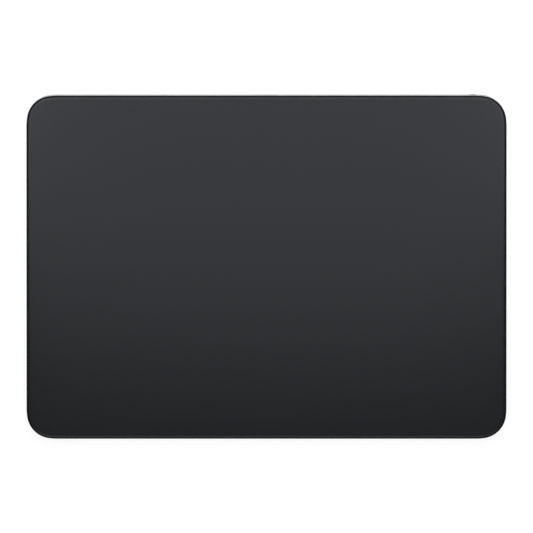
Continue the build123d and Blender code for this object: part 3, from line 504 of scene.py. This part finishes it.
# %% Two kinds of metal
finishes = {}
DYE_SHADE, STREAK_STRETCH = 0.93, 0.08


def blasted_metal(name, colour, pebble, gloss, depth):
    """Cells for the bead marks, in gloss and height, and a cloud for the dye, in colour."""
    material, shader = new_finish(name, Metallic=1.0)
    place = place_on(material)
    beads = cells(material, place, pebble)
    dye = grain(material, place, 18 * MM, detail=2.0)
    light, dark = np.array(colour), np.array(colour) * DYE_SHADE
    connect(
        material, shader,
        Base_Color=tint(material, dye, (0.3, dark.tolist()), (0.7, light.tolist())),
        Roughness=spread(material, beads, gloss[0], gloss[1]),
        Normal=relief(material, beads, depth),
    )
    return material


def streaked_metal(name, colour, streak, direction, gloss, depth, darker=0.85):
    """Noise drawn out about twelve times along one axis, for the streaks that a mill, roller or
    die leaves, and a cloud that varies their shade."""
    material, shader = new_finish(name, Metallic=1.0)
    stretch = tuple(STREAK_STRETCH if axis == direction else 1.0 for axis in "XYZ")
    marks = grain(material, place_on(material, stretch), streak, detail=5.0, roughness=0.6)
    patches = grain(material, place_on(material), 6 * MM)
    shade = combine(material, marks, patches)
    light, dark = np.array(colour), np.array(colour) * darker
    connect(
        material, shader,
        Base_Color=tint(material, shade, (0.1, dark.tolist()), (0.4, light.tolist())),
        Roughness=spread(material, marks, gloss[0], gloss[1], 0.3, 0.7),
        Normal=relief(material, marks, depth),
    )
    return material


# %% The metals of the slots
finishes["anodised_aluminium"] = blasted_metal(
    "blasted_anodised_aluminium", (0.42, 0.417, 0.433), 0.09 * MM, (0.34, 0.44), 0.008 * MM)
finishes["milled_aluminium"] = streaked_metal(
    "milled_aluminium", (0.62, 0.625, 0.635), 0.35 * MM, "X", (0.22, 0.38), 0.004 * MM)
finishes["tinned_steel"] = streaked_metal(
    "tinned_shield", (0.62, 0.63, 0.635), 0.5 * MM, "Y", (0.2, 0.34), 0.003 * MM)
finishes["stainless_steel"] = streaked_metal(
    "drawn_stainless_steel", (0.5, 0.495, 0.49), 0.2 * MM, "X", (0.22, 0.36), 0.003 * MM)
finishes["spring_steel"] = streaked_metal(
    "rolled_spring_steel", (0.42, 0.43, 0.45), 0.15 * MM, "X", (0.2, 0.34), 0.003 * MM)
finishes["screw_steel"] = streaked_metal(
    "turned_screw_steel", (0.32, 0.32, 0.34), 0.12 * MM, "Z", (0.24, 0.4), 0.003 * MM)
finishes["core_steel"] = streaked_metal(
    "laminated_core_steel", (0.2, 0.2, 0.22), 0.3 * MM, "X", (0.35, 0.5), 0.004 * MM)
finishes["gold_plate"] = streaked_metal(
    "gold_plated_contact", (0.86, 0.6, 0.24), 0.1 * MM, "Y", (0.14, 0.24), 0.001 * MM, 0.9)
print(len(finishes), "metal finishes")

# %% [markdown]
# ## Finishes for boards, films and moulded parts
# A circuit board is woven glass cloth under a green lacquer, with fine copper tracks that lift
# the lacquer a little. A pouch cell is foil laminate with soft creases. Flexible cables are amber
# film with parallel tracks. Moulded parts carry the fine spark-eroded grain of their tool, and
# rubber a duller one. Each is a small tree of the helpers above.

# %% Lacquered boards and flexible cables
CLOTH_PITCH, FILM_PITCH = 0.45 * MM, 0.5 * MM
# The bond's scale makes each of its units a millimetre, so these are in millimetres.
RUN_LENGTH, LANE_PITCH, TRACK_WIDTH, TRACK_SOFTNESS = 5.5, 0.55, 0.07, 0.3


def track_runs(material, turn):
    """Straight copper runs that step from lane to lane: the mortar lines of a very long brick
    bond."""
    inputs = {
        "Vector": place_on(material, turn=(0, 0, turn)), "Scale": 1 / MM,
        "Brick Width": RUN_LENGTH, "Row Height": LANE_PITCH,
        "Mortar Size": TRACK_WIDTH, "Mortar Smooth": TRACK_SOFTNESS,
    }
    return add_node(material, "TexBrick", inputs).outputs["Fac"]


def lacquered_board(name):
    """Green lacquer: warp and weft stripes for the cloth, and runs that go one way in some
    regions and the other way in the rest."""
    material, shader = new_finish(name, IOR=1.5, Specular_IOR_Level=0.5)
    place = place_on(material)
    warp = stripes(material, place, CLOTH_PITCH, "X")
    cloth = combine(material, warp, stripes(material, place, CLOTH_PITCH, "Y"))
    patches = grain(material, place, 9 * MM, detail=0.0)
    region = spread(material, patches, 0.0, 1.0, 0.49, 0.51)
    elsewhere = combine(material, 1.0, region, "SUBTRACT")
    across = combine(material, track_runs(material, 0.0), region)
    along = combine(material, track_runs(material, np.pi / 2), elsewhere)
    track = combine(material, across, along, "MAXIMUM")
    weave, copper = spread(material, cloth, 0.0, 0.3), spread(material, track, 0.0, 0.7)
    shade = combine(material, weave, copper, "ADD")
    connect(
        material, shader,
        Base_Color=tint(material, shade, (0.0, (0.012, 0.07, 0.035)), (1.0, (0.03, 0.16, 0.075))),
        Roughness=spread(material, track, 0.42, 0.3),
        Normal=relief(material, cloth, 0.004 * MM, relief(material, track, 0.02 * MM)),
    )
    return material


def track_film(name):
    """Amber film with copper tracks: stripes side by side along X, seen through the film."""
    material, shader = new_finish(name, IOR=1.55, Specular_IOR_Level=0.5, Coat_Weight=0.3)
    place = place_on(material)
    track = spread(material, stripes(material, place, FILM_PITCH, "X"), 0.0, 1.0, 0.45, 0.6)
    haze = grain(material, place, 3 * MM)
    copper, film = spread(material, track, 0.0, 0.75), spread(material, haze, 0.0, 0.25)
    shade = combine(material, copper, film, "ADD")
    connect(
        material, shader,
        Base_Color=tint(material, shade, (0.0, (0.22, 0.09, 0.015)), (1.0, (0.5, 0.26, 0.06))),
        Roughness=spread(material, haze, 0.24, 0.4),
        Normal=relief(material, track, 0.015 * MM),
    )
    return material


finishes["green_board"] = lacquered_board("lacquered_green_board")
finishes["flex_amber"] = track_film("amber_track_film")
print("boards and films:", finishes["green_board"].name, finishes["flex_amber"].name)


# %% Moulded plastics, rubbers and tape
def moulded(name, dark, light, pebble, gloss, depth):
    """Fine tool grain from noise, and a slow cloud for uneven tone and gloss."""
    material, shader = new_finish(name, IOR=1.48)
    place = place_on(material)
    skin = grain(material, place, pebble, detail=4.0)
    cloud = grain(material, place, 9 * MM, detail=2.0)
    connect(
        material, shader,
        Base_Color=tint(material, combine(material, skin, cloud), (0.12, dark), (0.4, light)),
        Roughness=spread(material, cloud, gloss[0], gloss[1], 0.3, 0.7),
        Normal=relief(material, skin, depth),
    )
    return material


finishes["moulded_black"] = moulded(
    "moulded_black_resin", (0.012, 0.012, 0.013), (0.022, 0.022, 0.024),
    0.07 * MM, (0.4, 0.55), 0.006 * MM)
finishes["chip_black"] = moulded(
    "moulded_chip_resin", (0.010, 0.010, 0.011), (0.024, 0.024, 0.026),
    0.05 * MM, (0.55, 0.7), 0.004 * MM)
finishes["isolator_rubber"] = moulded(
    "dark_isolator_rubber", (0.016, 0.016, 0.016), (0.03, 0.03, 0.03),
    0.12 * MM, (0.6, 0.75), 0.008 * MM)
finishes["foot_rubber"] = moulded(
    "pale_foot_rubber", (0.42, 0.42, 0.43), (0.56, 0.56, 0.57),
    0.15 * MM, (0.6, 0.8), 0.012 * MM)
finishes["tape"] = moulded(
    "white_mounting_tape", (0.55, 0.55, 0.52), (0.72, 0.72, 0.69),
    0.3 * MM, (0.6, 0.75), 0.01 * MM)
finishes["bond_film"] = moulded(
    "clear_bond_film", (0.5, 0.5, 0.47), (0.62, 0.62, 0.58),
    0.8 * MM, (0.25, 0.4), 0.003 * MM)
print(len(finishes), "finishes so far")


# %% Foil and wire
def creased_foil(name):
    """Foil laminate: wide soft creases from stretched noise, and the press grain of the sheet."""
    material, shader = new_finish(name, Metallic=0.55)
    crease = grain(material, place_on(material, (0.3, 1, 1)), 7 * MM, detail=4.0, roughness=0.65)
    press = cells(material, place_on(material), 0.25 * MM)
    connect(
        material, shader,
        Base_Color=tint(material, crease, (0.3, (0.20, 0.20, 0.21)), (0.7, (0.33, 0.33, 0.345))),
        Roughness=spread(material, crease, 0.3, 0.46, 0.3, 0.7),
        Normal=relief(material, press, 0.004 * MM, relief(material, crease, 0.12 * MM)),
    )
    return material


def enamelled_wire(name):
    """Enamelled copper. The groove attribute is 0 on top of a wire and 1 between two, where the
    colour is painted darker as shade."""
    material, shader = new_finish(name, Metallic=0.85, Coat_Weight=0.4)
    groove = add_node(material, "Attribute", attribute_name="groove").outputs["Fac"]
    varnish = grain(material, place_on(material), 1.2 * MM)
    connect(
        material, shader,
        # Painted shade: the colour darkens from the top of a wire to the groove between two.
        Base_Color=tint(material, groove, (0.0, (0.64, 0.27, 0.12)), (0.9, (0.16, 0.05, 0.02))),
        Roughness=spread(material, varnish, 0.24, 0.42, 0.3, 0.7),
        Normal=relief(material, varnish, 0.004 * MM),
    )
    return material


finishes["pouch_foil"] = creased_foil("creased_pouch_foil")
finishes["copper"] = streaked_metal(
    "stamped_copper_sheet", (0.66, 0.3, 0.15), 0.2 * MM, "X", (0.22, 0.36), 0.002 * MM)
print(len(finishes), "finishes, one for each slot but the glass's")

# %% [markdown]
# Each solid carries the name of its slot from the CAD model, and the finishes above go by the
# same names, so one loop dresses them all. A finish set by hand on every piece would do the same,
# and would miss a piece that is added later. The solid of the glass gets the etched finish.

# %% Dressing the solids
for solid in solids.values():
    for holder in solid.material_slots:
        holder.material = finishes.get(holder.material.name, etched)
print("dressed", len(solids), "solids")

# %% [markdown]
# ## The windings
# A coil in the solids is a plain loop. The real one is enamelled wire laid turn beside turn, and
# the turns are what the eye knows it by. Hundreds of separate wires would do, but a coil is
# lighter as one surface of two parameters: one goes round the tooth along a rounded rectangle,
# the other goes along the tooth over the scallops of the turns and comes back inside. The depth
# of each scallop is kept as an attribute, so the finish can paint shade into it between the turns.

# %% A surface that closes both ways
def ring_mesh(name, points):
    """A grid of points (loop, around, xyz) whose rows and columns both close: a bent tube."""
    loop, around = points.shape[:2]
    index = np.arange(loop * around).reshape(loop, around)
    down, ahead = np.roll(index, -1, axis=0), np.roll(index, -1, axis=1)
    quads = np.stack([index, down, np.roll(down, -1, axis=1), ahead], -1).reshape(-1, 4)
    mesh = bpy.data.meshes.new(name)
    mesh.from_pydata(points.reshape(-1, 3).tolist(), [], quads.tolist())
    mesh.polygons.foreach_set("use_smooth", np.ones(len(mesh.polygons), bool))
    return mesh


def show_piece(name, mesh, material):
    """Puts a finished mesh into the scene at the origin, with its finish."""
    piece = bpy.data.objects.new(name, mesh)
    mesh.materials.append(material)
    bpy.context.scene.collection.objects.link(piece)
    return piece


def soft_square(half_x, half_z, corner, steps):
    """A rounded rectangle and its outward normals: corner centres plus corner radius times the
    direction, with the direction's angle spent only in the corners."""
    quarter = np.linspace(0, np.pi / 2, steps)
    angle = (quarter[None] + np.arange(4)[:, None] * np.pi / 2).ravel()
    centre_x = np.repeat([1, -1, -1, 1], steps) * (half_x - corner)
    centre_z = np.repeat([1, 1, -1, -1], steps) * (half_z - corner)
    normal = np.stack([np.cos(angle), np.sin(angle)], -1)
    return np.stack([centre_x, centre_z], -1) + corner * normal, normal


# %% The four windings
TURNS, STEPS_PER_TURN, INNER_STEPS, COIL_CORNER_STEPS = 20, 8, 4, 9
COIL_BUILD, COIL_CORNER = 0.5 * MM, 0.6 * MM
wire_finish = enamelled_wire("enamelled_copper_wire")
for number in (1, 2, 3, 4):
    low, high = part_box(f"coil_{number}")
    half_x, half_z = (high.x - low.x) / 2, (high.z - low.z) / 2
    outline, outline_normal = soft_square(half_x, half_z, COIL_CORNER, COIL_CORNER_STEPS)
    phase = np.linspace(0, TURNS, TURNS * STEPS_PER_TURN + 1)
    wire_radius = (high.y - low.y) / TURNS / 2
    groove = 1 - np.sqrt(np.clip(1 - (2 * (phase % 1) - 1) ** 2, 0, 1))
    inner_along = np.linspace(1, 0, INNER_STEPS)
    inset = np.concatenate([groove * wire_radius, np.full(INNER_STEPS, COIL_BUILD)])
    along = low.y + (high.y - low.y) * np.concatenate([phase / TURNS, inner_along])
    flat = outline[None] - inset[:, None, None] * outline_normal[None]
    x = (low.x + high.x) / 2 + flat[..., 0]
    z = (low.z + high.z) / 2 + flat[..., 1]
    points = np.stack([x, np.broadcast_to(along[:, None], x.shape), z], -1)
    winding_mesh = ring_mesh(f"winding_{number}", points)
    # The groove depth also goes to the finish, which paints shade between the turns with it.
    depth = np.repeat(np.concatenate([groove, np.ones(INNER_STEPS)]), points.shape[1])
    attribute = winding_mesh.attributes.new("groove", "FLOAT", "POINT")
    attribute.data.foreach_set("value", depth.astype(np.float32))
    winding = show_piece(f"winding_{number}", winding_mesh, wire_finish)
    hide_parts(f"coil_{number}")
    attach(winding, "base")
print("windings of", TURNS, "turns, wire", round(2 * wire_radius / MM, 3), "mm thick")

# %% [markdown]
# ## The rubber isolators
# Between each leaf and the carrier plate sits a rubber grommet: a flange, a neck through the leaf
# and a lip under it, with soft edges and a ribbed rim. Bevelled cylinders would give the edges
# but not the ribs, so it is a section carried round the screw's axis. The section is a closed
# loop, since the screw's shoulder runs through the middle. It stays a hundredth of a millimetre
# off the faces that it rests on, so nothing shares a plane with it when the plate slides.

# %% A section carried round an axis
FLANGE_BELOW, NECK_BELOW, LIP_BELOW, LIP_END = 2.7 * MM, 3.15 * MM, 3.55 * MM, 3.8 * MM
BORE, NECK, LIP, FLANGE = 1.3 * MM, 2.18 * MM, 2.99 * MM, 3.19 * MM
RUBBER_AIR, RUBBER_ROUND, ROUNDING_STEPS = 0.01 * MM, 0.09 * MM, 4
RIBS, RIB_HEIGHT, POINTS_AROUND = 24, 0.05 * MM, 96


def rounded_loop(corners, radius):
    """Rounds each corner of a closed outline with a parabola between the points a radius before and
    after it: (1-t) squared times one, 2t(1-t) times the corner, t squared times the other."""
    corners = np.asarray(corners)
    before, after = np.roll(corners, 1, axis=0), np.roll(corners, -1, axis=0)
    way_back = (before - corners) / np.linalg.norm(before - corners, axis=1, keepdims=True)
    way_on = (after - corners) / np.linalg.norm(after - corners, axis=1, keepdims=True)
    t = np.linspace(0, 1, ROUNDING_STEPS + 1)[None, :, None]
    first, last = corners + radius * way_back, corners + radius * way_on
    curve = (1 - t) ** 2 * first[:, None] + 2 * t * (1 - t) * corners[:, None]
    curve += t**2 * last[:, None]
    return curve.reshape(-1, 2)


def carried_round(loop, across, along):
    """A loop of (radius, below) turned round the slab's normal at one place. The flange's rim is
    ribbed: its radius shrinks by a cosine of the angle, only where the radius is the flange's."""
    angle = np.linspace(0, 2 * np.pi, POINTS_AROUND, endpoint=False)
    radius = np.repeat(loop[:, :1], POINTS_AROUND, axis=1)
    ribbed = np.clip((radius - LIP) / (FLANGE - LIP), 0, 1)
    radius = radius - RIB_HEIGHT * ribbed * (0.5 - 0.5 * np.cos(RIBS * angle))
    return on_slope(across + radius * np.cos(angle), along + radius * np.sin(angle), loop[:, 1:])


# %% The four grommets
GROMMET_ACROSS, GROMMET_ALONG = 66.0 * MM, 42.45 * MM
grommet_loop = rounded_loop([
    (BORE, FLANGE_BELOW + RUBBER_AIR), (FLANGE, FLANGE_BELOW + RUBBER_AIR),
    (FLANGE, NECK_BELOW - RUBBER_AIR), (NECK, NECK_BELOW - RUBBER_AIR),
    (NECK, LIP_BELOW + RUBBER_AIR), (LIP, LIP_BELOW + RUBBER_AIR),
    (LIP, LIP_END - RUBBER_AIR), (BORE, LIP_END - RUBBER_AIR),
], RUBBER_ROUND)
rubber = finishes["isolator_rubber"]
for end, along in (("front", -GROMMET_ALONG), ("rear", GROMMET_ALONG)):
    for side, across in (("left", -GROMMET_ACROSS), ("right", GROMMET_ACROSS)):
        points = carried_round(grommet_loop, across, along)
        mesh = ring_mesh(f"grommet_{end}_{side}", points)
        grommet = show_piece(f"grommet_{end}_{side}", mesh, rubber)
        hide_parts(f"isolator_{end}_{side}")
        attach(grommet, "press_stage")
        low, high = np.array(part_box(f"isolator_{end}_{side}"))
        spare = np.minimum(points.min(axis=(0, 1)) - low, high - points.max(axis=(0, 1)))
        print(grommet.name, "stays inside its solid's box by", np.round(spare / MM, 3), "mm")

# %% [markdown]
# ## The touch cable's fold
# The sensor's cable folds over once on its way down to the logic board. When the glass is pressed
# the real fold gives, and the solid can't. A flat curve with a thickness would take the fold too,
# but with square edges. So the cable is a thin rounded section carried along a path whose heading
# turns twice.

# %% The path of the fold
CABLE_HALF_WIDTH, CABLE_HALF_THICKNESS = 5.0 * MM, 0.064 * MM
CABLE_CORNER, CABLE_CORNER_STEPS = 0.03 * MM, 4
CABLE_ACROSS, CABLE_START = 63.5 * MM, (10.0 * MM, 4.175 * MM)
FOLD_RADIUS, LOWER_LEG, RISE_LEG, UPPER_LEG = 0.6 * MM, 4.085 * MM, 0.370 * MM, 4.122 * MM
LEG_STEPS, TURN_STEPS, RISE_STEPS = 10, 14, 2


def heading_path(start, legs):
    """Steps along a heading, added up. Each leg is (length, heading at its start, at its end,
    steps), and the heading runs evenly between them, so a leg that turns is an arc."""
    lengths = np.concatenate([np.full(steps, length / steps) for length, _, _, steps in legs])
    shares = [(np.arange(steps) + 0.5) / steps for _, _, _, steps in legs]
    heading = np.concatenate([a + (b - a) * share for (_, a, b, _), share in zip(legs, shares)])
    steps = lengths[:, None] * np.stack([np.cos(heading), np.sin(heading)], -1)
    points = np.asarray(start) + np.concatenate([np.zeros((1, 2)), np.cumsum(steps, axis=0)])
    tangent = np.gradient(points, axis=0)
    tangent /= np.linalg.norm(tangent, axis=1, keepdims=True)
    return points, tangent


slope_angle = float(np.arcsin(SLOPE_SIN))
up_turn, back_turn = np.pi / 2, np.pi / 2 - slope_angle
path, path_tangent = heading_path(CABLE_START, [
    (LOWER_LEG, np.pi, np.pi, LEG_STEPS),
    (FOLD_RADIUS * up_turn, np.pi, np.pi / 2, TURN_STEPS),
    (RISE_LEG, np.pi / 2, np.pi / 2, RISE_STEPS),
    (FOLD_RADIUS * back_turn, np.pi / 2, slope_angle, TURN_STEPS),
    (UPPER_LEG, slope_angle, slope_angle, LEG_STEPS),
])
solid_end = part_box("touch_cable")[1]
print("path ends at", np.round(path[-1] / MM, 3), "mm, its solid at",
      [round(v / MM, 2) for v in solid_end], "mm")

# %% The ribbon
cable_section, _ = soft_square(
    CABLE_HALF_WIDTH, CABLE_HALF_THICKNESS, CABLE_CORNER, CABLE_CORNER_STEPS)
path_normal = np.stack([-path_tangent[:, 1], path_tangent[:, 0]], -1)
yz = path[:, None] + cable_section[None, :, 1:] * path_normal[:, None]
x = np.broadcast_to(CABLE_ACROSS + cable_section[:, 0], yz.shape[:2])
ribbon = np.concatenate([x[..., None], yz], -1)
ribbon_mesh = closed_mesh("touch_ribbon", ribbon, ribbon[0].mean(axis=0), ribbon[-1].mean(axis=0))
touch_ribbon = show_piece("touch_ribbon", ribbon_mesh, finishes["flex_amber"])
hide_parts("touch_cable")
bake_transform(touch_ribbon)

# %% [markdown]
# ## The leaf springs
# Four thin steel leaves carry the glass. One end is screwed to the tray and the other moves down
# with the glass. A rigid copy would tear away at one end, and each leaf here is such a copy of its
# solid, which is hidden.

# %% Four leaves copied from their solids
for side in ("front_left", "front_right", "rear_left", "rear_right"):
    solid = solids["flexure_" + side]
    leaf_mesh = solid.data.copy()
    leaf = bpy.data.objects.new("leaf_" + side, leaf_mesh)
    bpy.context.scene.collection.objects.link(leaf)
    low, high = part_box("flexure_" + side)
    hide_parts("flexure_" + side)
    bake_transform(leaf)
